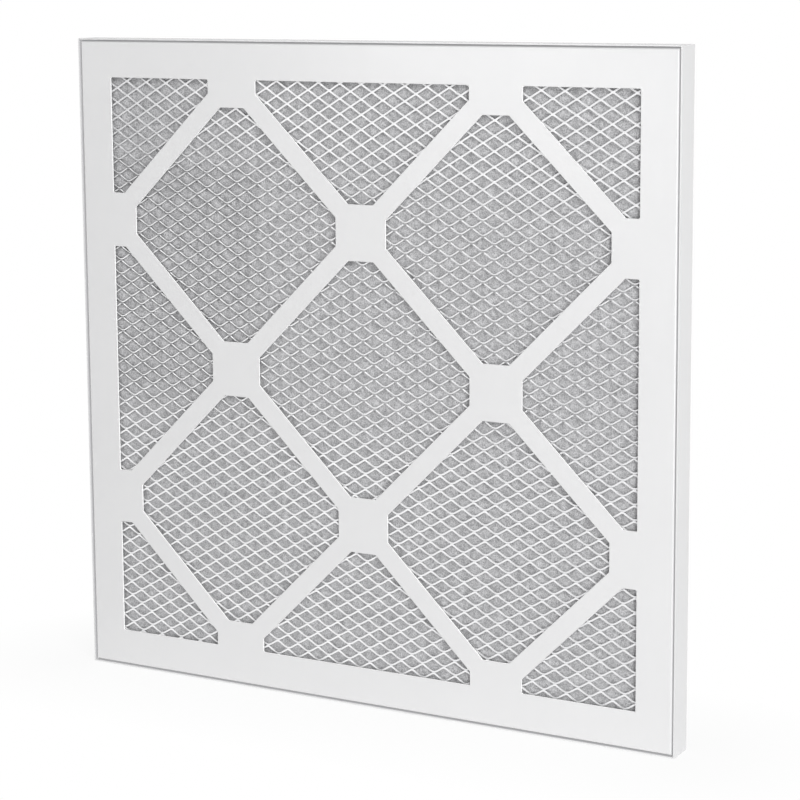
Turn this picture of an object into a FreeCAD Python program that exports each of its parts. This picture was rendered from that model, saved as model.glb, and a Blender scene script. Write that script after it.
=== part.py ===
import FreeCAD, Part
import math
import os
import Sketcher
from FreeCAD import Placement, Rotation, Vector

# A disposable square panel air filter. Two folded trays of coated board nest in each other, and
# between their die-cut faces they hold a sheet of expanded metal and a flat fibre mat.
# Row frame: X to the right, Y away from the front, Z up, origin under the middle of the bottom edge.
# Each piece is drawn flat, x across, y up and z into the panel from the face, then stood upright.
# Lengths are in millimetres.

doc = FreeCAD.newDocument("panel_filter")
tiny = 1e-6

sizeTable = {
    # the whole panel
    "panelWidth": 394.0,
    "panelHeight": 394.0,
    "panelDepth": 19.0,
    # the board, its folds and the glue tabs at its corners
    "board": 0.8,
    "foldRadius": 0.2,
    "tabLength": 26.0,
    "tabTaper": 3.0,
    "tabSetback": 1.6,
    # how the front tray sits in the rear one
    "nestClearance": 0.2,
    "wallClearance": 0.2,
    # the die-cut lattice
    "faceBorder": 21.6,
    "strutWidth": 11.5,
    "nodeSize": 33.0,
    "dieRadius": 1.0,
    # the expanded metal
    "cellWidth": 14.2,
    "cellHeight": 8.8,
    "strandWidth": 1.0,
    "strandThickness": 0.6,
    "strandGap": 0.1,
    "gridRim": 3.0,
    # the fibre mat, and the two beads of adhesive that bed the pack against the tray faces
    "packClearance": 0.3,
    "matClearance": 0.2,
    "glueThickness": 0.3,
    "glueWidth": 7.0,
    "glueInset": 4.0,
    "glueCorner": 3.0,
}

sheet = doc.addObject("Spreadsheet::Sheet", "Sizes")
for row, (name, value) in enumerate(sizeTable.items(), start=1):
    sheet.set(f"A{row}", name)
    sheet.set(f"B{row}", str(value))
    sheet.setAlias(f"B{row}", name)
doc.recompute()

# Values that several pieces share, worked out from the sheet. At each side the front tray is smaller
# than the rear one by a board, a corner tab and a clearance. The pack is what lies between the faces.
sharedTable = {
    "bendRadius": "Sizes.board + Sizes.foldRadius",
    "nestStep": "2 * Sizes.board + Sizes.nestClearance",
    "frontWidth": "Sizes.panelWidth - 2 * Shared.nestStep",
    "frontHeight": "Sizes.panelHeight - 2 * Shared.nestStep",
    "frontDepth": "Sizes.panelDepth - Sizes.board - Sizes.wallClearance",
    "packWidth": "Shared.frontWidth - 4 * Sizes.board - 2 * Sizes.packClearance",
    "packHeight": "Shared.frontHeight - 4 * Sizes.board - 2 * Sizes.packClearance",
    "pitchX": "(Shared.frontWidth - 2 * Sizes.faceBorder) / 4",
    "pitchY": "(Shared.frontHeight - 2 * Sizes.faceBorder) / 4",
    "strutShare": "Sizes.strutWidth / 2 * sqrt(1 / Shared.pitchX^2 + 1 / Shared.pitchY^2)",
    "endX": "Shared.pitchX - Sizes.nodeSize / 2",
    "endY": "Shared.pitchY - Sizes.nodeSize / 2",
    "flatX": "Shared.pitchX * (Sizes.nodeSize / 2 / Shared.pitchY - Shared.strutShare)",
    "flatY": "Shared.pitchY * (Sizes.nodeSize / 2 / Shared.pitchX - Shared.strutShare)",
    "gridFront": "Sizes.board + Sizes.glueThickness",
    "gridThickness": "2 * Sizes.strandThickness + Sizes.strandGap",
    "matFront": "Shared.gridFront + Shared.gridThickness + Sizes.matClearance",
    "matBack": "Sizes.panelDepth - Sizes.board - Sizes.glueThickness",
}
shared = doc.addObject("App::VarSet", "Shared")
for name, expression in sharedTable.items():
    shared.addProperty("App::PropertyFloat", name)
    shared.setExpression(name, expression)
    doc.recompute()


def originPlane(body, role):
    return next(item for item in body.Origin.OriginFeatures if item.Role == role)


def newBody(name):
    body = doc.addObject("PartDesign::Body", name)
    body.Label = name
    return body


def newSketch(body, name, lift="0", role="XY_Plane"):
    sketch = body.newObject("Sketcher::SketchObject", body.Name + name)
    sketch.AttachmentSupport = [(originPlane(body, role), "")]
    sketch.MapMode = "FlatFace"
    sketch.setExpression("AttachmentOffset.Base.z", lift)
    return sketch


def pinPoint(sketch, geometry, end, x, y):
    # holds an end of a line or arc at a place that is given by two expressions
    for direction, expression in (("DistanceX", x), ("DistanceY", y)):
        value = sketch.evalExpression(expression)
        index = sketch.addConstraint(Sketcher.Constraint(direction, -1, 1, geometry, end, value))
        sketch.setExpression(f"Constraints[{index}]", expression)


def addLoop(sketch, corners):
    # a closed outline through corners, each a pair of expressions
    points = [Vector(sketch.evalExpression(x), sketch.evalExpression(y), 0) for x, y in corners]
    nexts = points[1:] + points[:1]
    lines = sketch.addGeometry([Part.LineSegment(a, b) for a, b in zip(points, nexts)], False)
    for line, following in zip(lines, lines[1:] + lines[:1]):
        sketch.addConstraint(Sketcher.Constraint("Coincident", line, 2, following, 1))
    for line, (x, y) in zip(lines, corners):
        pinPoint(sketch, line, 1, x, y)


def addRectangle(sketch, width, height):
    addLoop(sketch, [(f"{i} * ({width}) / 2", f"{j} * ({height}) / 2")
                     for i, j in ((-1, -1), (1, -1), (1, 1), (-1, 1))])


def sweep(body, kind, name, sketch, length):
    # a Pad rises from its sketch towards z, and a Pocket sinks from it
    feature = body.newObject("PartDesign::" + kind, body.Name + name)
    feature.Profile = sketch
    feature.setExpression("Length", length)
    return feature


def rounded(body, name, base, radius, wanted):
    # rounds the edges of the base for which wanted(bounding box) is true
    doc.recompute()
    edges = [f"Edge{i}" for i, edge in enumerate(base.Shape.Edges, start=1) if wanted(edge.BoundBox)]
    feature = body.newObject("PartDesign::Fillet", body.Name + name)
    feature.Base = (base, edges)
    feature.setExpression("Radius", radius)
    return feature


def latticeOpenings():
    # The thirteen cut-outs as outlines: five whole diamonds, then the halves at the four sides and the
    # quarters in the corners. The square nodes of the lattice cut their points off.
    endX, endY = "Shared.endX", "Shared.endY"
    flatX, flatY = "Shared.flatX", "Shared.flatY"
    whole = [(endX, flatY), (flatX, endY), ("-" + flatX, endY), ("-" + endX, flatY),
             ("-" + endX, "-" + flatY), ("-" + flatX, "-" + endY), (flatX, "-" + endY), (endX, "-" + flatY)]
    halfTop = [(endX, "0"), (endX, flatY), (flatX, endY), ("-" + flatX, endY), ("-" + endX, flatY),
               ("-" + endX, "0")]
    halfSide = [("0", endY), (flatX, endY), (endX, flatY), (endX, "-" + flatY), (flatX, "-" + endY),
                ("0", "-" + endY)]
    quarter = [("0", "0"), (endX, "0"), (endX, flatY), (flatX, endY), ("0", endY)]
    farX, farY = "2 * Shared.pitchX", "2 * Shared.pitchY"
    diagonals = ((1, 1), (-1, 1), (-1, -1), (1, -1))
    loops = []
    for i, j in ((0, 0), *diagonals):
        loops.append([(f"{i} * Shared.pitchX + {x}", f"{j} * Shared.pitchY + {y}") for x, y in whole])
    for side in (1, -1):
        loops.append([(x, f"{side} * ({farY} - {y})") for x, y in halfTop])
        loops.append([(f"{side} * ({farX} - {x})", y) for x, y in halfSide])
    for i, j in diagonals:
        loops.append([(f"{i} * ({farX} - {x})", f"{j} * ({farY} - {y})") for x, y in quarter])
    return loops


def foldedTray(name, width, height, depth):
    # One die-cut blank with its four walls folded up from the lattice face. The side walls run the full
    # height. The top and bottom walls stop inside them and end in tabs, bent round and glued behind.
    body = newBody(name)
    blank = newSketch(body, "Blank")
    addRectangle(blank, width, height)
    block = sweep(body, "Pad", "Block", blank, depth)
    folds = rounded(body, "Folds", block, "Shared.bendRadius", lambda box: box.ZMax < tiny)

    inside = newSketch(body, "Inside", depth)
    addRectangle(inside, f"{width} - 2 * Sizes.board", f"{height} - 2 * Sizes.board")
    hollow = sweep(body, "Pocket", "Hollow", inside, f"{depth} - Sizes.board")
    board = sheet.board
    rounded(body, "InnerFolds", hollow, "Sizes.foldRadius",
            lambda box: abs(box.ZMin - board) < tiny and box.ZLength < tiny)

    cuts = newSketch(body, "Cuts", "Sizes.board")
    for corners in latticeOpenings():
        addLoop(cuts, corners)
    lattice = sweep(body, "Pocket", "Lattice", cuts, "2 * Sizes.board")
    rounded(body, "CutCorners", lattice, "Sizes.dieRadius",
            lambda box: abs(box.ZLength - board) < tiny and max(box.XLength, box.YLength) < tiny)

    seam = newSketch(body, "Seam", depth)
    tip = f"({width}) / 2 - Sizes.board"
    top = f"({height}) / 2"
    bendX = f"{tip} - Shared.bendRadius"
    bendY = f"{top} - Shared.bendRadius"
    a, b, c, centre = [Vector(seam.evalExpression(x), seam.evalExpression(y), 0)
                       for x, y in ((bendX, top), (tip, top), (tip, bendY), (bendX, bendY))]
    radius = (a - centre).Length
    bend = Part.ArcOfCircle(Part.Circle(centre, Vector(0, 0, 1), radius), 0, math.pi / 2)
    lines = seam.addGeometry([Part.LineSegment(a, b), Part.LineSegment(b, c), bend], False)
    for line, following in zip(lines, lines[1:] + lines[:1]):
        seam.addConstraint(Sketcher.Constraint("Coincident", line, 2, following, 1))
    pinPoint(seam, lines[0], 1, bendX, top)
    pinPoint(seam, lines[1], 1, tip, top)
    pinPoint(seam, lines[2], 1, tip, bendY)
    size = seam.addConstraint(Sketcher.Constraint("Radius", lines[2], radius))
    seam.setExpression(f"Constraints[{size}]", "Shared.bendRadius")
    groove = sweep(body, "Pocket", "Groove", seam, f"{depth} - Shared.bendRadius")

    flap = newSketch(body, "Flap", f"({width}) / 2 - 2 * Sizes.board", "YZ_Plane")
    wall = f"({height}) / 2 - Sizes.board"
    near = "Sizes.board + Sizes.tabSetback"
    far = f"{depth} - Sizes.tabSetback"
    addLoop(flap, [(wall, near), (wall, far),
                   (f"{wall} - Sizes.tabLength", f"{far} - Sizes.tabTaper"),
                   (f"{wall} - Sizes.tabLength", f"{near} + Sizes.tabTaper")])
    tab = sweep(body, "Pad", "Tab", flap, "Sizes.board")

    corners = body.newObject("PartDesign::MultiTransform", name + "Corners")
    corners.Originals = [groove, tab]
    mirrors = []
    for plane in ("YZ_Plane", "XZ_Plane"):
        mirror = body.newObject("PartDesign::Mirrored", name + "Mirror" + plane[:2])
        mirror.MirrorPlane = (originPlane(body, plane), [""])
        mirrors.append(mirror)
    corners.Transformations = mirrors
    body.Tip = corners
    return body


def stackedSheet(name, width, height, front, back):
    # a flat rectangular piece of the pack, between two depths
    body = newBody(name)
    outline = newSketch(body, "Outline", front)
    addRectangle(outline, width, height)
    sweep(body, "Pad", "Thickness", outline, f"({back}) - ({front})")
    return body


def glueBead(name, front):
    # a flat bead laid in one closed round along the edge of the pack
    body = newBody(name)
    outline = newSketch(body, "Outline", front)
    outer = [f"Shared.pack{side} - 2 * Sizes.glueInset" for side in ("Width", "Height")]
    inner = [f"{length} - 2 * Sizes.glueWidth" for length in outer]
    addRectangle(outline, *outer)
    addRectangle(outline, *inner)
    ring = sweep(body, "Pad", "Ring", outline, "Sizes.glueThickness")
    reach = outline.evalExpression(outer[0]) / 2
    bends = rounded(body, "OuterBends", ring, "Sizes.glueCorner + Sizes.glueWidth",
                    lambda box: box.ZLength > tiny and abs(box.XMax) > reach - tiny)
    innerReach = reach - sheet.glueWidth
    rounded(body, "InnerBends", bends, "Sizes.glueCorner",
            lambda box: box.ZLength > tiny and max(abs(box.XMin), box.XMax) < innerReach + tiny)
    return body


def strandLayer(rise, front):
    # parallel strands across the sheet, all leaning by rise over each cell's width
    width, height = shared.packWidth - sheet.gridRim, shared.packHeight - sheet.gridRim
    slope = rise / sheet.cellWidth
    half = sheet.strandWidth / 2 * math.hypot(1, slope)
    reach = abs(slope) * width / 2
    count = math.ceil((height / 2 + reach) / sheet.cellHeight)
    strands = []
    for number in range(-count, count + 1):
        middle = (number + 0.5) * sheet.cellHeight
        ends = [(-width / 2, middle - slope * width / 2), (width / 2, middle + slope * width / 2)]
        corners = [Vector(x, y + lift, front) for x, y in ends for lift in (-half, half)]
        outline = Part.makePolygon([corners[0], corners[2], corners[3], corners[1], corners[0]])
        strands.append(Part.Face(outline).extrude(Vector(0, 0, sheet.strandThickness)))
    bounds = Part.makeBox(width, height, sheet.strandThickness, Vector(-width / 2, -height / 2, front))
    return Part.makeCompound(strands).common(bounds).Solids


def supportGrid():
    # Expanded metal at its true pitch, drawn as two crossing layers of flat strands that join at the rim
    # of the sheet. Where they cross they pass a hair's breadth apart.
    width, height = shared.packWidth, shared.packHeight
    rim, hole = [Part.makeBox(width - 2 * inset, height - 2 * inset, shared.gridThickness,
                              Vector(inset - width / 2, inset - height / 2, shared.gridFront))
                 for inset in (0, sheet.gridRim)]
    front = strandLayer(sheet.cellHeight, shared.gridFront)
    back = strandLayer(-sheet.cellHeight, shared.gridFront + sheet.strandThickness + sheet.strandGap)
    feature = doc.addObject("Part::Feature", "support_grid")
    feature.Label = "support_grid"
    feature.Shape = rim.cut(hole).multiFuse(front + back).Solids[0]
    return feature


rearTray = foldedTray("rear_tray", "Sizes.panelWidth", "Sizes.panelHeight", "Sizes.panelDepth")
frontTray = foldedTray("front_tray", "Shared.frontWidth", "Shared.frontHeight", "Shared.frontDepth")
mat = stackedSheet("media_pad", "Shared.packWidth", "Shared.packHeight", "Shared.matFront", "Shared.matBack")
frontGlue = glueBead("front_glue_bead", "Sizes.board")
rearGlue = glueBead("rear_glue_bead", "Shared.matBack")
doc.recompute()
grid = supportGrid()

# The rear tray opens towards the front. All the other pieces are drawn from the front face inwards.
upright = Rotation(Vector(1, 0, 0), 90)
turned = Rotation(Vector(0, 0, 1), 180).multiply(upright)
pieces = [rearTray, frontTray, mat, frontGlue, rearGlue, grid]
for piece in pieces:
    side, turn = (1, upright) if piece is rearTray else (-1, turned)
    piece.Placement = Placement(Vector(), turn)
    piece.setExpression("Placement.Base.y", f"{side} * Sizes.panelDepth / 2")
    piece.setExpression("Placement.Base.z", "Sizes.panelHeight / 2")
doc.recompute()

for item in doc.Objects:
    if "Invalid" in item.State or "Error" in item.State:
        raise RuntimeError(f"{item.Name} failed: {item.State}")
os.makedirs("parts", exist_ok=True)
for piece in pieces:
    if piece.Shape.isNull() or not piece.Shape.isValid() or len(piece.Shape.Solids) != 1:
        raise RuntimeError(f"{piece.Label} isn't one valid solid")
for piece in pieces:
    piece.Shape.exportStep(f"parts/{piece.Label}.step")
    box = piece.Shape.BoundBox
    print(piece.Label, f"{piece.Shape.Volume:.0f} mm3", f"{box.XLength:.1f} x {box.YLength:.1f} x {box.ZLength:.1f}")
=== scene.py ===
import math

import bpy
from mathutils import Matrix, Vector


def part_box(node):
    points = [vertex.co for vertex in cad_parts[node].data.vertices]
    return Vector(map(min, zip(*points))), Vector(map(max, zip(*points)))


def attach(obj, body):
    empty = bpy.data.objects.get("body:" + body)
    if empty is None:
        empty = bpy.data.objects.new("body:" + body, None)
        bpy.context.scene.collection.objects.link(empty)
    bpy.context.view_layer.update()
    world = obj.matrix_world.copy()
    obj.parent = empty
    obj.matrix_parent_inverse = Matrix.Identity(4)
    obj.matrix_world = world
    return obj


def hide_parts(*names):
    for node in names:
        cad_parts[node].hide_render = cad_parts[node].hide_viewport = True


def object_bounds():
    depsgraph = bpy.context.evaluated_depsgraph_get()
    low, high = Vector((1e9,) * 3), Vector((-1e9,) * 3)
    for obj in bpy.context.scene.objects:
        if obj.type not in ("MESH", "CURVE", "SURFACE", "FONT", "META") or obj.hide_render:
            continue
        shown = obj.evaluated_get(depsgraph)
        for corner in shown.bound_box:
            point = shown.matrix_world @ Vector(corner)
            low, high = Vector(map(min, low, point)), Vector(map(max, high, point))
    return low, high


# A disposable square panel air filter. The two board trays and the beads of adhesive come from the frame
# and get their finish here. Raised expanded metal and a fibre mat are built in the places of their plain
# solids. Metres, X to the right, Y away from the front, Z up.

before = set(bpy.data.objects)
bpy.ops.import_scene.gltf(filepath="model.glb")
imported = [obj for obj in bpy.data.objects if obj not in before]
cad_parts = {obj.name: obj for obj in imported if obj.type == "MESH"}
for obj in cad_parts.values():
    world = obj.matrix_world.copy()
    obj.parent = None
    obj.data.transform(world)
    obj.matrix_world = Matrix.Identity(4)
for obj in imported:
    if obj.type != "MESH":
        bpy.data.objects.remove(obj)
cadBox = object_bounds()
scene = bpy.context.scene
scene.view_settings.view_transform = "Standard"
print("frame loaded:", ", ".join(sorted(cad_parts)))

white = (1, 1, 1, 1)
black = (0, 0, 0, 1)

# Blender's noise: its mean, how far it usually leaves that, and where nearly all of it lies
noiseMean = 0.5
noiseSwing = 0.25
noiseRange = (0.3, 0.7)


# Small helpers for node trees

def put(tree, kind, inputs=None, **settings):
    # adds a node, and each input gets a link or a plain value
    node = tree.nodes.new(kind)
    for name, value in settings.items():
        setattr(node, name, value)
    for key, value in (inputs or {}).items():
        if isinstance(value, bpy.types.NodeSocket):
            tree.links.new(value, node.inputs[key])
        else:
            node.inputs[key].default_value = value
    return node


def calc(tree, operation, *values):
    return put(tree, "ShaderNodeMath", dict(enumerate(values)), operation=operation).outputs[0]


def vectorCalc(tree, operation, first, second):
    return put(tree, "ShaderNodeVectorMath", {0: first, 1: second}, operation=operation).outputs[0]


def scaled(tree, vector, factor):
    return put(tree, "ShaderNodeVectorMath", {0: vector, "Scale": factor}, operation="SCALE").outputs[0]


def spread(tree, value, fromLow, fromHigh, toLow=0.0, toHigh=1.0):
    # carries a value from one range to another and holds it at the ends
    inputs = {"Value": value, "From Min": fromLow, "From Max": fromHigh, "To Min": toLow, "To Max": toHigh}
    return put(tree, "ShaderNodeMapRange", inputs).outputs[0]


def blendValue(tree, factor, first, second):
    # by number, because the Mix node's sockets for each kind of value share their names
    return put(tree, "ShaderNodeMix", {0: factor, 2: first, 3: second}, data_type="FLOAT").outputs[0]


def blendColour(tree, factor, first, second):
    return put(tree, "ShaderNodeMix", {0: factor, 6: first, 7: second}, data_type="RGBA").outputs[2]


def split(tree, vector):
    return put(tree, "ShaderNodeSeparateXYZ", {0: vector}).outputs[0:3]


def join(tree, x, y, z):
    return put(tree, "ShaderNodeCombineXYZ", {0: x, 1: y, 2: z}).outputs[0]


def noiseNode(tree, place, **inputs):
    return put(tree, "ShaderNodeTexNoise", {"Vector": place, **inputs}).outputs


def newGroup(name, kind, inputs, outputs):
    # an empty node group with named sockets, and its input and output nodes
    group = bpy.data.node_groups.new(name, kind)
    for direction, sockets in (("INPUT", inputs), ("OUTPUT", outputs)):
        for label, socketKind, value in sockets:
            socketType = "NodeSocket" + socketKind
            socket = group.interface.new_socket(label, in_out=direction, socket_type=socketType)
            if value is not None:
                socket.default_value = value
    return group, group.nodes.new("NodeGroupInput").outputs, group.nodes.new("NodeGroupOutput").inputs


def useGroup(tree, group, inputs):
    return put(tree, "ShaderNodeGroup", inputs, node_tree=group).outputs


def newMaterial(name, roughness, metallic=0.0, specular=0.5):
    material = bpy.data.materials.new(name)
    material.use_nodes = True
    tree = material.node_tree
    shader = tree.nodes["Principled BSDF"]
    shader.inputs["Roughness"].default_value = roughness
    shader.inputs["Metallic"].default_value = metallic
    shader.inputs["Specular IOR Level"].default_value = specular
    place = put(tree, "ShaderNodeTexCoord").outputs["Object"]
    return material, tree, shader.inputs, place


# The effect that every material of the panel uses

def mottleEffect():
    # soft cloudy patches about 1, and the same patches as a height
    group, given, made = newGroup(
        "mottle", "ShaderNodeTree",
        [("Place", "Vector", None), ("Patch Size", "Float", 0.003), ("Strength", "Float", 0.05),
         ("Detail", "Float", 3.0)],
        [("Shade", "Float", None), ("Height", "Float", None)])
    scale = calc(group, "DIVIDE", 1.0, given["Patch Size"])
    noise = noiseNode(group, given["Place"], Scale=scale, Detail=given["Detail"], Roughness=0.55)[0]
    centred = calc(group, "SUBTRACT", noise, noiseMean)
    group.links.new(calc(group, "MULTIPLY_ADD", centred, given["Strength"], 1.0), made["Shade"])
    group.links.new(noise, made["Height"])
    return group


mottle = mottleEffect()


def patches(tree, place, size, detail=3.0):
    # the height of the mottle's patches, where no other of its values is needed
    return useGroup(tree, mottle, {"Place": place, "Patch Size": size, "Detail": detail})["Height"]


# Camera, lamps, floor

cameraSetup = {
    "place": (0.6368, -1.1367, 0.4361),
    "yaw": 28.46,        # degrees to the left of straight ahead
    "pitch": -8.41,
    "roll": 0.37,
    "lens": 101.475,     # millimetres on a 36 mm sensor
    "frameShift": -0.125,
}


def aimCamera(setup):
    data = bpy.data.cameras.new("photoCamera")
    data.lens = setup["lens"]
    data.shift_y = setup["frameShift"]
    camera = bpy.data.objects.new("photoCamera", data)
    scene.collection.objects.link(camera)
    turn = Matrix.Identity(3)
    for angle, axis in ((setup["yaw"], "Z"), (setup["pitch"], "X"), (setup["roll"], "Y"), (90, "X")):
        turn = turn @ Matrix.Rotation(math.radians(angle), 3, axis)
    camera.matrix_world = Matrix.Translation(setup["place"]) @ turn.to_4x4()
    scene.camera = camera


studio = {
    "skyLevel": 0.31,
    "floorSize": 8.0,
    "floorColour": (0.92, 0.92, 0.92, 1),
    "floorRoughness": 0.9,
    "floorGloss": 0.1,
    "floorGlow": 0.90,    # how much of the floor beside the panel is plain white and takes no shadow
    "fadeReach": 0.10,    # from this far out, all of it
    "bounceGlow": 0.55,   # how much of it is plain white for the light that the panel's foot gets from it
    "bounceReach": 0.30,  # from this far out, none of it
    "lamps": {
        # name: place, width, height, watts
        "keyLamp": ((1.9, -1.7, 1.8), 1.1, 1.1, 47.5),
        "lowLamp": ((0.9, -0.9, 0.15), 0.25, 0.25, 3.0),
        "sheenLamp": ((-0.45, -1.2, 0.27), 0.36, 0.20, 0.45),
        "glossLamp": ((-0.55, -1.2, 0.47), 0.30, 0.12, 0.75),
    },
}


def seenDirectly(tree):
    # 1 for rays that show the background: those of the camera, of reflections and through glass
    path = put(tree, "ShaderNodeLightPath").outputs
    first = calc(tree, "MAXIMUM", path["Is Camera Ray"], path["Is Glossy Ray"])
    return calc(tree, "MAXIMUM", first, path["Is Transmission Ray"])


def lightStudio(setup):
    world = bpy.data.worlds.new("studio")
    scene.world = world
    world.use_nodes = True
    tree = world.node_tree
    level = spread(tree, seenDirectly(tree), 0.0, 1.0, setup["skyLevel"], 1.0)
    tree.links.new(level, tree.nodes["Background"].inputs["Strength"])
    tree.nodes["Background"].inputs["Color"].default_value = white
    aim = (cadBox[0] + cadBox[1]) / 2
    for name, (place, width, height, watts) in setup["lamps"].items():
        lamp = bpy.data.lights.new(name, "AREA")
        lamp.shape = "RECTANGLE"
        lamp.size = width
        lamp.size_y = height
        lamp.energy = watts
        holder = bpy.data.objects.new(name, lamp)
        holder.location = place
        holder.rotation_euler = (aim - Vector(place)).to_track_quat("-Z", "Y").to_euler()
        scene.collection.objects.link(holder)


def layFloor(setup):
    half = setup["floorSize"] / 2
    mesh = bpy.data.meshes.new("floor")
    corners = [(x * half, y * half, 0) for x, y in ((-1, -1), (1, -1), (1, 1), (-1, 1))]
    mesh.from_pydata(corners, [], [(0, 1, 2, 3)])
    floor = bpy.data.objects.new("floor", mesh)
    scene.collection.objects.link(floor)
    material, tree, shader, place = newMaterial(
        "floorPaint", setup["floorRoughness"], specular=setup["floorGloss"])
    shader["Base Color"].default_value = setup["floorColour"]
    glow = put(tree, "ShaderNodeEmission", {"Color": white, "Strength": 1.0})
    # away from the panel's foot the floor runs into the white background
    beyond = []
    for part, edge in zip(split(tree, place)[0:2], cadBox[1]):
        past = calc(tree, "SUBTRACT", calc(tree, "ABSOLUTE", part), edge)
        beyond.append(calc(tree, "MAXIMUM", past, 0.0))
    offset = join(tree, *beyond, 0.0)
    away = put(tree, "ShaderNodeVectorMath", {0: offset}, operation="LENGTH").outputs["Value"]
    plain = spread(tree, away, 0.0, setup["fadeReach"], setup["floorGlow"], 1.0)
    bounce = spread(tree, away, 0.0, setup["bounceReach"], setup["bounceGlow"], 0.0)
    share = blendValue(tree, seenDirectly(tree), bounce, plain)
    surface = tree.nodes["Principled BSDF"].outputs[0]
    mixed = put(tree, "ShaderNodeMixShader", {0: share, 1: surface, 2: glow.outputs[0]})
    tree.links.new(mixed.outputs[0], tree.nodes["Material Output"].inputs["Surface"])
    mesh.materials.append(material)


aimCamera(cameraSetup)
lightStudio(studio)
layFloor(studio)
print("camera, lamps and floor placed")


# Coated board, on the two folded trays of the frame

boardLook = {
    "coat": (0.777, 0.777, 0.782, 1),
    "coatShade": (0.762, 0.762, 0.767, 1),
    # raw cut board, lighter than the coat, and painted lighter still as a highlight on the cut sides
    "rawEdgeAndHighlight": (0.96, 0.96, 0.955, 1),
    "paintedEdgeLight": (0.25, 0.25, 0.25, 1),     # painted light: a glow on the cut sides of the openings, as the highlight they catch
    "gapSide": (0.42, 0.42, 0.43, 1),
    # painted light that lifts the shade in the gap
    "paintedGapLight": (0.17, 0.17, 0.17, 1),
    "thickness": 0.0008,
    "patchSize": 0.045,
    "streakWidth": 0.0022,
    "streakLength": 0.060,
    "grainSize": 0.0004,
    "streakTone": 0.1,
    "edgeRadius": 0.0002,
    "edgeSamples": 6,
    "roughness": 0.266,
    "roughnessRange": 0.008,
    "innerRoughness": 0.3,                # how much rougher the sides inside the outer walls are
    "gloss": 0.8,
    "grainHeight": 0.000012,
    "grainStrength": 0.3,
    "streakHeight": 0.03,                 # against the grain's
}


def streakEffect():
    # long soft streaks up and down the sheet, as the coating leaves them
    group, given, made = newGroup(
        "streaks", "ShaderNodeTree",
        [("Place", "Vector", None), ("Width", "Float", 0.002), ("Length", "Float", 0.05)],
        [("Height", "Float", None)])
    squeezed = [calc(group, "DIVIDE", part, given[size])
                for part, size in zip(split(group, given["Place"]), ("Width", "Length", "Length"))]
    noise = noiseNode(group, join(group, *squeezed), Scale=1.0, Detail=3.0, Roughness=0.6)
    group.links.new(noise[0], made["Height"])
    return group


streaks = streakEffect()
trayLow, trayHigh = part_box("rear_tray")
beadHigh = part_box("front_glue_bead")[1]


def innerSides(tree, place, thickness):
    # masks of the sides inside the outer walls: all of them, and the cuts of the openings alone
    outward = split(tree, put(tree, "ShaderNodeNewGeometry").outputs["True Normal"])
    side = calc(tree, "LESS_THAN", calc(tree, "ABSOLUTE", outward[1]), 0.5)
    fromMiddle = split(tree, vectorCalc(tree, "SUBTRACT", place, tuple((trayLow + trayHigh) / 2)))
    out = calc(tree, "MAXIMUM", *(calc(tree, "ABSOLUTE", fromMiddle[axis]) for axis in (0, 2)))
    return [calc(tree, "MULTIPLY", side, calc(tree, "LESS_THAN", out, limit))
            for limit in (trayHigh.x - thickness / 2, beadHigh.x)]


def coatedBoard(look):
    material, tree, shader, place = newMaterial("coatedBoard", look["roughness"], specular=look["gloss"])
    drawn = useGroup(tree, streaks, {"Place": place, "Width": look["streakWidth"],
                     "Length": look["streakLength"]})["Height"]
    tone = calc(tree, "MULTIPLY_ADD", calc(tree, "SUBTRACT", drawn, noiseMean), look["streakTone"],
                patches(tree, place, look["patchSize"]))
    coat = blendColour(tree, spread(tree, tone, *noiseRange), look["coatShade"], look["coat"])
    # raw where the openings are cut, grey in the gap between the trays, with painted light on both
    inner, cut = innerSides(tree, place, look["thickness"])
    colour = blendColour(tree, cut, blendColour(tree, inner, coat, look["gapSide"]), look["rawEdgeAndHighlight"])
    tree.links.new(colour, shader["Base Color"])
    # painted light: the cut sides and the gap glow, though nothing lights them
    glow = blendColour(tree, cut, blendColour(tree, inner, black, look["paintedGapLight"]), look["paintedEdgeLight"])
    tree.links.new(glow, shader["Emission Color"])
    shader["Emission Strength"].default_value = 1.0
    wide = look["roughnessRange"] / 2
    rough = spread(tree, drawn, *noiseRange, look["roughness"] - wide, look["roughness"] + wide)
    tree.links.new(calc(tree, "MULTIPLY_ADD", inner, look["innerRoughness"], rough), shader["Roughness"])
    grain = patches(tree, place, look["grainSize"])
    height = calc(tree, "MULTIPLY_ADD", drawn, look["streakHeight"], grain)
    # the cut edges worn round; this only bends the normals
    worn = put(tree, "ShaderNodeBevel", {"Radius": look["edgeRadius"]}, samples=look["edgeSamples"])
    bump = put(tree, "ShaderNodeBump", {"Strength": look["grainStrength"], "Distance": look["grainHeight"],
               "Height": height, "Normal": worn.outputs[0]})
    tree.links.new(bump.outputs[0], shader["Normal"])
    return material


def dressNode(name, material):
    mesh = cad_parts[name].data
    mesh.materials.clear()
    mesh.materials.append(material)


board = coatedBoard(boardLook)
for tray in ("rear_tray", "front_tray"):
    dressNode(tray, board)
print("trays dressed")


# Helpers for geometry trees

def socketName(key):
    # "cellWidth" becomes "Cell Width"
    return "".join(" " + letter if letter.isupper() else letter for letter in key).title()


def socketsFor(settings):
    # a named input for each setting
    kinds = {int: "Int", float: "Float", tuple: "Vector"}
    return [(socketName(key), kinds[type(value)], value) for key, value in settings.items()]


def position(tree):
    return put(tree, "GeometryNodeInputPosition").outputs[0]


def setPlace(tree, geometry, **inputs):
    return put(tree, "GeometryNodeSetPosition", {"Geometry": geometry, **inputs}).outputs[0]


def prune(tree, geometry, selection, domain):
    return put(tree, "GeometryNodeDeleteGeometry", {"Geometry": geometry, "Selection": selection},
               domain=domain).outputs[0]


def mark(tree, geometry, name, value):
    return put(tree, "GeometryNodeStoreNamedAttribute", {"Geometry": geometry, "Name": name, "Value": value},
               data_type="FLOAT", domain="POINT").outputs[0]


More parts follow.
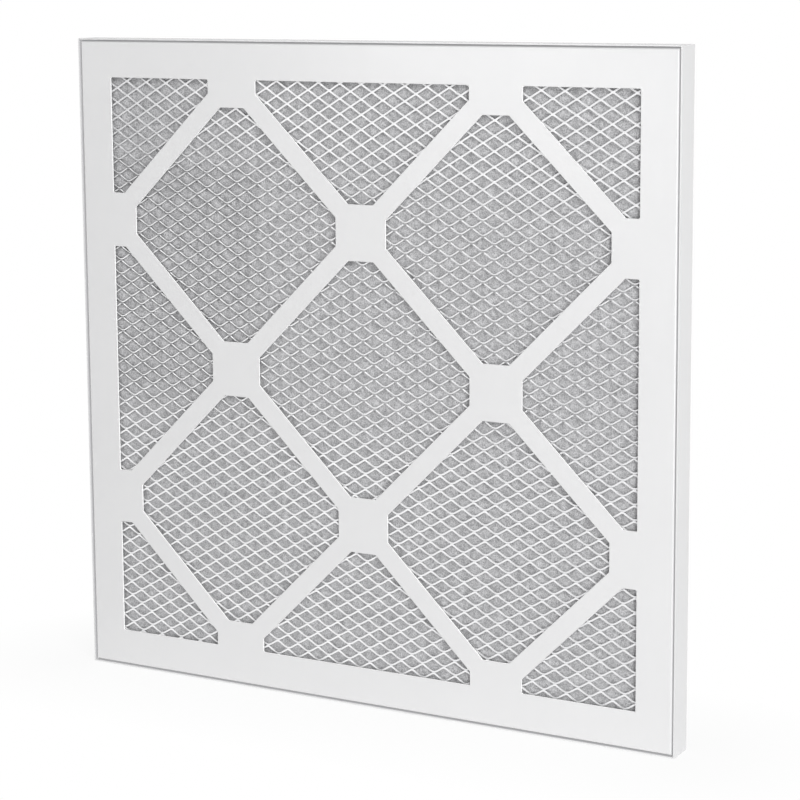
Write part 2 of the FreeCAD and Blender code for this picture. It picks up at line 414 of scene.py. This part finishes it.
def readMark(tree, name):
    return put(tree, "GeometryNodeInputNamedAttribute", {"Name": name}, data_type="FLOAT").outputs[0]


def realise(tree, geometry):
    return put(tree, "GeometryNodeRealizeInstances", {"Geometry": geometry}).outputs[0]


def paint(tree, geometry, material, **inputs):
    wanted = {"Geometry": geometry, "Material": material, **inputs}
    return put(tree, "GeometryNodeSetMaterial", wanted).outputs[0]


def finishShape(tree, given, geometry, smooth):
    # the piece in its place, as real geometry with its material
    placed = setPlace(tree, geometry, Offset=given["Place"])
    shaded = put(tree, "GeometryNodeSetShadeSmooth", {"Geometry": placed, "Shade Smooth": smooth}).outputs[0]
    return paint(tree, realise(tree, shaded), given["Material"])


def grow(name, tree, settings, others):
    # a geometry tree's result as a plain mesh; an input takes the setting or the other value of its name
    values = {socketName(key): value for key, value in settings.items()} | others
    piece = bpy.data.objects.new(name, bpy.data.meshes.new(name))
    scene.collection.objects.link(piece)
    modifier = piece.modifiers.new(name, "NODES")
    modifier.node_group = tree
    for item in tree.interface.items_tree:
        if item.in_out == "INPUT" and item.name in values:
            modifier[item.identifier] = values[item.name]
    made = piece.evaluated_get(bpy.context.evaluated_depsgraph_get())
    mesh = bpy.data.meshes.new_from_object(made)
    piece.modifiers.clear()
    piece.data = mesh
    mesh.name = name
    print(f"{name}: {len(mesh.polygons)} faces")
    return piece


# Raised expanded metal: rows of slit strands, each pulled into a wave. A strand's low bends face up, and
# each joins the high bend of the row below, which faces down, in one bond of two strands' width.

meshSheet = {
    "cellWidth": 0.01419,
    "cellHeight": 0.00878,
    "strandWidth": 0.00104,
    "strandThickness": 0.00026,
    "bondLength": 0.0012,
    "bondDepth": 0.84,     # from one strand's middle to the next one's in a bond, in strand widths
    "bendRadius": 0.0042,
    "bendSteps": 3,
    # degrees that a low bend leans back at its top edge, and a high bend forward
    "lowTilt": 18.0,
    "highTilt": -8.0,
    # the same in a band across the sheet, where the strands are drawn thinner
    "bandLowTilt": 24.0,
    "bandHighTilt": -16.0,
    "bandLow": -0.028,     # its two edges, from the sheet's middle
    "bandHigh": 0.119,
    "bandSlope": -0.15,    # the band's upper edge falls towards the right
    "bandRamp": 0.018,     # how far each edge fades, up and down
    "bandWidth": 0.76,     # how thin the strands are there, against the others
    # how wide the round of the low bends is in the band and above it, against the others
    "bandBend": 0.80,
    "topBend": 0.35,
    "unevenness": 0.00012,
    "unevenPitch": 180.0,  # swings of the unevenness in a metre
    "shiftX": 0.0004,      # how far the pattern lies off the sheet's middle
    "shiftZ": -0.00685,
    # painted shadow: a dark strip below each strand in the left part of the band, where its shadow falls on
    # the mat, fading in over this range
    "flankWidth": 0.00074,
    "flankThickness": 0.00012,
    "flankShift": (-0.00042, 0.00020, -0.00036),
    "flankFrom": -0.045,
    "flankTo": -0.085,
    # how far the sheet is pulled out of square, at this distance from its middle
    "reach": 0.1736,
    "lean": -0.0014,
    "bow": 0.0015,
    "slope": -0.0015,
    "sag": 0.0011,
    "twist": -0.0009,
    "spreading": 0.0010,
}

# fixed counts: strands and rows start a little past the sheet's edges
pointsPerCell = 3.0
spareCells = 2.0
spareRows = 4.0
edgeInset = 0.6    # how far inside the upper and lower edge a strand's middle stops, in strand widths


def strandLine(tree, given, rise, halfCell):
    # one strand as a zigzag: the two ends of a high bend, then a low tip, and so on
    cellCount = calc(tree, "CEIL", calc(tree, "DIVIDE", given["Width"], given["Cell Width"]))
    cells = calc(tree, "ADD", cellCount, spareCells)
    points = calc(tree, "MULTIPLY", cells, pointsPerCell)
    strand = put(tree, "GeometryNodeMeshLine", {"Count": points}, mode="OFFSET").outputs[0]
    index = put(tree, "GeometryNodeInputIndex").outputs[0]
    # 0 and 1 at the ends of the high bend, 2 at the low tip
    part = calc(tree, "MODULO", index, pointsPerCell)
    cell = calc(tree, "FLOOR", calc(tree, "DIVIDE", calc(tree, "ADD", index, 0.5), pointsPerCell))
    isTip = calc(tree, "GREATER_THAN", part, 1.5)
    side = calc(tree, "MULTIPLY_ADD", calc(tree, "MINIMUM", part, 1.0), 2.0, -1.0)
    halfBond = calc(tree, "MULTIPLY", given["Bond Length"], 0.5)
    alongCell = blendValue(tree, isTip, calc(tree, "MULTIPLY", side, halfBond), halfCell)
    fromMiddle = calc(tree, "SUBTRACT", cell, calc(tree, "MULTIPLY", cells, 0.5))
    along = calc(tree, "MULTIPLY_ADD", fromMiddle, given["Cell Width"], alongCell)
    # the sharp tip lies lower than the round bend that replaces it
    slope = calc(tree, "ARCTAN2", rise, calc(tree, "SUBTRACT", halfCell, halfBond))
    secant = calc(tree, "DIVIDE", 1.0, calc(tree, "COSINE", slope))
    drop = calc(tree, "MULTIPLY", calc(tree, "SUBTRACT", 1.0, secant), given["Bend Radius"])
    height = blendValue(tree, isTip, rise, drop)
    shaped = setPlace(tree, strand, Position=join(tree, along, 0.0, height))
    return mark(tree, shaped, "low", isTip)


def rowPlaces(tree, given, rowStep, halfCell):
    # a point for each row, half a cell along from the last
    rowCount = calc(tree, "CEIL", calc(tree, "DIVIDE", given["Height"], rowStep))
    rows = calc(tree, "ADD", rowCount, spareRows)
    stack = put(tree, "GeometryNodeMeshLine", {"Count": rows}, mode="OFFSET").outputs[0]
    row = put(tree, "GeometryNodeInputIndex").outputs[0]
    stagger = calc(tree, "MULTIPLY", calc(tree, "MODULO", row, 2.0), halfCell)
    fromMiddle = calc(tree, "SUBTRACT", row, calc(tree, "FLOOR", calc(tree, "MULTIPLY", rows, 0.5)))
    level = calc(tree, "MULTIPLY", fromMiddle, rowStep)
    return setPlace(tree, stack, Position=join(tree, stagger, 0.0, level))


def pulledOffset(tree, given):
    # how far a point of the sheet is pulled out of square, from where it lies
    here = split(tree, position(tree))
    u, v = (calc(tree, "DIVIDE", here[axis], given["Reach"]) for axis in (0, 2))
    uu, vv, uv = (calc(tree, "MULTIPLY", *pair) for pair in ((u, u), (v, v), (u, v)))
    middle = calc(tree, "MULTIPLY", v, calc(tree, "SUBTRACT", 1.0, vv))
    offsets = []
    for start, terms in (("Shift X", (("Lean", v), ("Bow", vv))),
                         ("Shift Z", (("Slope", u), ("Sag", uu), ("Twist", uv), ("Spreading", middle)))):
        total = given[start]
        for name, factor in terms:
            total = calc(tree, "MULTIPLY_ADD", given[name], factor, total)
        offsets.append(total)
    return join(tree, offsets[0], 0.0, offsets[1])


def unevenOffset(tree, given):
    # a little unevenness from bend to bend, in the plane of the sheet
    noise = noiseNode(tree, position(tree), Scale=given["Uneven Pitch"], Detail=1.0)[1]
    centred = vectorCalc(tree, "SUBTRACT", noise, (noiseMean,) * 3)
    wander = scaled(tree, centred, calc(tree, "DIVIDE", given["Unevenness"], noiseSwing))
    return vectorCalc(tree, "MULTIPLY", wander, (1.0, 0.0, 1.0))


def pastEdges(tree, given):
    # 1 past the cut edges of the sheet
    here = split(tree, position(tree))
    xLimit, halfHeight = (calc(tree, "MULTIPLY", given[size], 0.5) for size in ("Width", "Height"))
    zLimit = calc(tree, "MULTIPLY_ADD", given["Strand Width"], -edgeInset, halfHeight)
    return calc(tree, "MAXIMUM", *(calc(tree, "GREATER_THAN", calc(tree, "ABSOLUTE", here[axis]), limit)
                                   for axis, limit in ((0, xLimit), (2, zLimit))))


def bandShares(tree, given, here):
    # 1 in the band and 0 outside it, and 1 above it
    bandHigh = calc(tree, "MULTIPLY_ADD", here[0], given["Band Slope"], given["Band High"])
    entered, above = (
        spread(tree, here[2], *(calc(tree, how, end, given["Band Ramp"]) for how in ("SUBTRACT", "ADD")))
        for end in (given["Band Low"], bandHigh))
    return calc(tree, "SUBTRACT", entered, above), above


def strip(tree, curve, thickness, width, scale):
    # a flat strip along a curve, closed at its ends
    section = put(tree, "GeometryNodeCurvePrimitiveQuadrilateral", {"Width": thickness, "Height": width})
    return put(tree, "GeometryNodeCurveToMesh", {"Curve": curve, "Profile Curve": section.outputs[0],
               "Scale": scale, "Fill Caps": True}).outputs[0]


def paintedShadowStrips(tree, given, curves, here, inBand):
    # painted shadow: a second, narrower dark strip behind each strand, in the left part of the band alone
    shown = calc(tree, "MULTIPLY", spread(tree, here[0], given["Flank From"], given["Flank To"]), inBand)
    rowMiddle = put(tree, "GeometryNodeFieldOnDomain", {"Value": here[2]}, data_type="FLOAT",
                    domain="CURVE").outputs[0]
    otherRow = calc(tree, "MAXIMUM", calc(tree, "LESS_THAN", rowMiddle, given["Band Low"]),
                    calc(tree, "GREATER_THAN", rowMiddle, given["Band High"]))
    paintedShadowEnd = calc(tree, "MULTIPLY", calc(tree, "ADD", given["Flank From"], given["Flank To"]), 0.5)
    bandRows = prune(tree, curves, otherRow, "CURVE")
    leftPart = prune(tree, bandRows, calc(tree, "GREATER_THAN", here[0], paintedShadowEnd), "POINT")
    beside = setPlace(tree, leftPart, Offset=given["Flank Shift"])
    flank = strip(tree, beside, given["Flank Thickness"], given["Flank Width"], shown)
    return mark(tree, flank, "flank", 1.0)


def meshTree(settings):
    tree, given, made = newGroup(
        "expandedMetal", "GeometryNodeTree",
        [("Width", "Float", None), ("Height", "Float", None), *socketsFor(settings),
         ("Place", "Vector", None), ("Material", "Material", None), ("Painted Shadow Material", "Material", None)],
        [("Mesh", "Geometry", None)])
    rowStep = calc(tree, "MULTIPLY", given["Cell Height"], 0.5)
    rise = calc(tree, "SUBTRACT", rowStep, calc(tree, "MULTIPLY", given["Strand Width"], given["Bond Depth"]))
    halfCell = calc(tree, "MULTIPLY", given["Cell Width"], 0.5)
    copies = put(tree, "GeometryNodeInstanceOnPoints", {"Points": rowPlaces(tree, given, rowStep, halfCell),
                 "Instance": strandLine(tree, given, rise, halfCell)}).outputs[0]
    # pulled out of square, then cut at its edges
    pulled = setPlace(tree, realise(tree, copies), Offset=pulledOffset(tree, given))
    uneven = setPlace(tree, pulled, Offset=unevenOffset(tree, given))
    trimmed = prune(tree, uneven, pastEdges(tree, given), "POINT")
    lines = put(tree, "GeometryNodeMeshToCurve", {"Mesh": trimmed}).outputs[0]
    length = put(tree, "GeometryNodeSplineLength").outputs[0]
    strands = prune(tree, lines, calc(tree, "LESS_THAN", length, given["Cell Width"]), "CURVE")
    # round bends, tighter in the band and tighter still above it
    low = readMark(tree, "low")
    here = split(tree, position(tree))
    inBand, above = bandShares(tree, given, here)
    tighter = blendValue(tree, above, blendValue(tree, inBand, 1.0, given["Band Bend"]), given["Top Bend"])
    radius = calc(tree, "MULTIPLY", calc(tree, "MULTIPLY", low, given["Bend Radius"]), tighter)
    bent = put(tree, "GeometryNodeFilletCurve", {"Curve": strands, "Radius": radius, "Limit Radius": True,
               "Count": given["Bend Steps"]}, mode="POLY").outputs[0]
    # each strand twisted at its bends
    facing = put(tree, "GeometryNodeSetCurveNormal", {"Curve": bent}, mode="Z_UP").outputs[0]
    highTilt, lowTilt = (blendValue(tree, inBand, given[f"{bend} Tilt"], given[f"Band {bend} Tilt"])
                         for bend in ("High", "Low"))
    tilt = calc(tree, "RADIANS", blendValue(tree, low, highTilt, lowTilt))
    twisted = put(tree, "GeometryNodeSetCurveTilt", {"Curve": facing, "Tilt": tilt}).outputs[0]
    marked = mark(tree, twisted, "inBand", inBand)
    thinned = blendValue(tree, inBand, 1.0, given["Band Width"])
    solid = strip(tree, marked, given["Strand Thickness"], given["Strand Width"], thinned)
    flank = paintedShadowStrips(tree, given, marked, here, inBand)
    both = put(tree, "GeometryNodeJoinGeometry")
    for piece in (flank, solid):
        tree.links.new(piece, both.inputs[0])
    painted = finishShape(tree, given, both.outputs[0], False)
    isPaintedShadow = calc(tree, "GREATER_THAN", readMark(tree, "flank"), 0.5)
    tree.links.new(paint(tree, painted, given["Painted Shadow Material"], Selection=isPaintedShadow), made["Mesh"])
    return tree


metalLook = {
    "zinc": (0.96, 0.96, 0.965, 1),
    "dull": (0.88, 0.88, 0.89, 1),
    "worn": (0.74, 0.74, 0.75, 1),        # painted shade, darker in the upper left part, fading out over these ranges
    "shadeAcross": (-0.15, -0.06),
    "shadeUp": (0.25, 0.32),
    "rightShade": (0.82, 0.82, 0.83, 1),     # painted shade, darker towards the right
    "rightShadeAcross": (-0.02, 0.15),
    "bendShade": (0.40, 0.40, 0.41, 1),      # painted shade on the high bends in the band, which lie in the shade of the bend above
    "bendShadeTo": (0.02, 0.14),
    # painted shadow: the colours of the dark strips below the strands
    "flank": (0.12, 0.12, 0.125, 1),
    "paintedShadowPale": (0.17, 0.17, 0.175, 1),
    "patchSize": 0.012,
    "roughness": 0.48,
    "metallic": 0.25,
}


def brightZinc(look):
    material, tree, shader, place = newMaterial("brightZinc", look["roughness"], metallic=look["metallic"])
    fresh = blendColour(tree, patches(tree, place, look["patchSize"]), look["dull"], look["zinc"])
    here = split(tree, place)
    # painted shade: the strands darker in the upper left part
    worn = calc(tree, "MULTIPLY", spread(tree, here[0], *look["shadeAcross"], 1.0, 0.0),
                spread(tree, here[2], *look["shadeUp"]))
    # painted shade: the strands darker towards the right
    shadedRight = blendColour(tree, spread(tree, here[0], *look["rightShadeAcross"]), fresh, look["rightShade"])
    bright = blendColour(tree, worn, shadedRight, look["worn"])
    # painted shade: in the band the high bends are darker, as they lie in the shade of the low bends above
    # them
    low, inBand = (put(tree, "ShaderNodeAttribute", attribute_name=name).outputs["Fac"]
                   for name in ("low", "inBand"))
    bendShade = calc(tree, "MULTIPLY", inBand, spread(tree, low, *look["bendShadeTo"], 1.0, 0.0))
    tree.links.new(blendColour(tree, bendShade, bright, look["bendShade"]), shader["Base Color"])
    return material


# painted shadow: a dark material for the strips that stand in for the strands' shadows on the mat
def paintedStrandShadow(look):
    material, tree, shader, place = newMaterial("paintedStrandShadow", look["roughness"], metallic=look["metallic"])
    colour = blendColour(tree, patches(tree, place, look["patchSize"]), look["flank"], look["paintedShadowPale"])
    tree.links.new(colour, shader["Base Color"])
    return material


gridLow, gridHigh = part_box("support_grid")
expandedMetal = grow("expanded_metal", meshTree(meshSheet), meshSheet, {
    "Width": gridHigh.x - gridLow.x,
    "Height": gridHigh.z - gridLow.z,
    "Place": tuple((gridLow + gridHigh) / 2),
    "Material": brightZinc(metalLook),
    "Painted Shadow Material": paintedStrandShadow(metalLook),
})
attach(expandedMetal, "root")
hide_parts("support_grid")


# The fibre mat: a block with a lumpy surface

matLook = {
    "pale": (0.61, 0.61, 0.62, 1),
    "dark": (0.31, 0.31, 0.32, 1),
    "toneRange": (0.36, 0.64),
    "shadeReach": 0.0022,      # how far the board keeps light off the mat
    "shadeRange": (0.20, 0.62),
    "shadeTone": 0.28,
    "shadeSamples": 4,
    "fibre": (0.80, 0.80, 0.81, 1),
    "fibreShare": 0.45,
    "patchSize": 0.0065,
    "patchTone": 0.7,
    "tuftSize": 0.0030,
    "clumpSize": 0.0007,
    "clumpTone": 0.9,
    "detail": 2.0,
    "fibreSpacing": 0.0013,
    "fibreThinness": 0.09,
    "fibreWander": 1.8,        # in spacings
    "fibreHeight": 0.3,        # against the tufts
    "tuftHeight": 0.0003,
    "tuftStrength": 0.6,
    "roughness": 0.95,
    "gloss": 0.15,
    "lumpSize": 0.006,
    "lumpHeight": 0.00025,
    "steps": 160,
    "depthSteps": 6,
    # the front face lies back this far behind the mesh, but not in a wide patch at this place
    "sinkDepth": 0.0005,
    "sinkX": -0.165,
    "sinkZ": 0.045,
    "sinkWidth": 0.115,
    "sinkHeight": 0.095,
    "sinkStart": 0.1,          # of the square of the way from the patch's middle to its edge
}


def fibreEffect():
    # fine lines that wander, as of fibres in a sheet; 1 on a fibre, 0 between
    group, given, made = newGroup(
        "fibres", "ShaderNodeTree",
        [("Place", "Vector", None), ("Spacing", "Float", 0.002), ("Wander", "Float", 1.0),
         ("Wander Pitch", "Float", 0.45), ("Thinness", "Float", 0.06)],
        [("Line", "Float", None)])
    scale = calc(group, "DIVIDE", 1.0, given["Spacing"])
    bendScale = calc(group, "MULTIPLY", scale, given["Wander Pitch"])
    bend = noiseNode(group, given["Place"], Scale=bendScale, Detail=2.0)[1]
    reach = calc(group, "MULTIPLY", given["Spacing"], given["Wander"])
    moved = scaled(group, vectorCalc(group, "SUBTRACT", bend, (noiseMean,) * 3), reach)
    cells = put(group, "ShaderNodeTexVoronoi",
                {"Vector": vectorCalc(group, "ADD", given["Place"], moved), "Scale": scale},
                feature="DISTANCE_TO_EDGE")
    edge = spread(group, cells.outputs["Distance"], 0.0, given["Thinness"], 1.0, 0.0)
    group.links.new(edge, made["Line"])
    return group


fibres = fibreEffect()


def matTree(settings):
    shape = ("steps", "depthSteps", "lumpSize", "lumpHeight", "sinkDepth", "sinkX", "sinkZ", "sinkWidth",
             "sinkHeight", "sinkStart")
    tree, given, made = newGroup(
        "fibreMat", "GeometryNodeTree",
        [("Size", "Vector", None), ("Place", "Vector", None), ("Material", "Material", None),
         *socketsFor({key: settings[key] for key in shape})],
        [("Mesh", "Geometry", None)])
    block = put(tree, "GeometryNodeMeshCube", {"Size": given["Size"], "Vertices X": given["Steps"],
                "Vertices Y": given["Depth Steps"], "Vertices Z": given["Steps"]}).outputs[0]
    here = position(tree)
    noise = noiseNode(tree, here, Scale=calc(tree, "DIVIDE", 1.0, given["Lump Size"]), Detail=2.0)[0]
    inward = calc(tree, "MULTIPLY", noise, calc(tree, "DIVIDE", given["Lump Height"], -noiseMean))
    normal = put(tree, "GeometryNodeInputNormal").outputs[0]
    soft = setPlace(tree, block, Offset=scaled(tree, normal, inward))
    x, y, z = split(tree, here)
    u = calc(tree, "DIVIDE", calc(tree, "SUBTRACT", x, given["Sink X"]), given["Sink Width"])
    v = calc(tree, "DIVIDE", calc(tree, "SUBTRACT", z, given["Sink Z"]), given["Sink Height"])
    away = calc(tree, "MULTIPLY_ADD", u, u, calc(tree, "MULTIPLY", v, v))
    outside = spread(tree, away, given["Sink Start"], 1.0)
    sunken = calc(tree, "MULTIPLY", calc(tree, "LESS_THAN", y, 0.0), outside)
    sink = join(tree, 0.0, calc(tree, "MULTIPLY", sunken, given["Sink Depth"]), 0.0)
    settled = setPlace(tree, soft, Offset=sink)
    tree.links.new(finishShape(tree, given, settled, True), made["Mesh"])
    return tree


def matFibre(look):
    material, tree, shader, place = newMaterial("fibreMat", look["roughness"], specular=look["gloss"])
    tufts = patches(tree, place, look["tuftSize"], look["detail"])
    clumps = patches(tree, place, look["clumpSize"], look["detail"])
    lines = useGroup(tree, fibres, {"Place": place, "Spacing": look["fibreSpacing"],
                     "Wander": look["fibreWander"], "Thinness": look["fibreThinness"]})["Line"]
    # tufts and clumps together, with the noise's own mean
    shade = calc(tree, "MULTIPLY", tufts, 1.0 - look["clumpTone"] / 2)
    shade = calc(tree, "MULTIPLY_ADD", clumps, look["clumpTone"], shade)
    shade = calc(tree, "SUBTRACT", shade, look["clumpTone"] / 4)
    body = blendColour(tree, spread(tree, shade, *look["toneRange"]), look["dark"], look["pale"])
    lit = blendColour(tree, calc(tree, "MULTIPLY", lines, look["fibreShare"]), body, look["fibre"])
    clear = put(tree, "ShaderNodeAmbientOcclusion", {"Distance": look["shadeReach"]},
                samples=look["shadeSamples"]).outputs["AO"]
    cloudy = useGroup(tree, mottle, {"Place": place, "Patch Size": look["patchSize"],
                      "Strength": look["patchTone"], "Detail": look["detail"]})["Shade"]
    level = calc(tree, "MULTIPLY", spread(tree, clear, *look["shadeRange"], look["shadeTone"], 1.0), cloudy)
    tree.links.new(scaled(tree, lit, level), shader["Base Color"])
    height = calc(tree, "MULTIPLY_ADD", lines, look["fibreHeight"], shade)
    bump = put(tree, "ShaderNodeBump", {"Strength": look["tuftStrength"], "Distance": look["tuftHeight"],
               "Height": height})
    tree.links.new(bump.outputs[0], shader["Normal"])
    return material


matLow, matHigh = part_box("media_pad")
fibreMat = grow("fibre_mat", matTree(matLook), matLook, {
    "Size": tuple(matHigh - matLow),
    "Place": tuple((matLow + matHigh) / 2),
    "Material": matFibre(matLook),
})
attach(fibreMat, "root")
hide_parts("media_pad")


# The two beads of adhesive

adhesiveLook = {
    "clear": (0.80, 0.78, 0.72, 1),
    "cloudy": (0.86, 0.85, 0.80, 1),
    "patchSize": 0.004,
    "patchHeight": 0.0003,
    "patchStrength": 0.4,
    "roughness": 0.3,
}


def hotMelt(look):
    material, tree, shader, place = newMaterial("hotMelt", look["roughness"])
    clouds = patches(tree, place, look["patchSize"])
    tree.links.new(blendColour(tree, clouds, look["clear"], look["cloudy"]), shader["Base Color"])
    bump = put(tree, "ShaderNodeBump", {"Strength": look["patchStrength"], "Distance": look["patchHeight"],
               "Height": clouds})
    tree.links.new(bump.outputs[0], shader["Normal"])
    return material


adhesive = hotMelt(adhesiveLook)
for bead in ("front_glue_bead", "rear_glue_bead"):
    dressNode(bead, adhesive)
print("beads dressed")
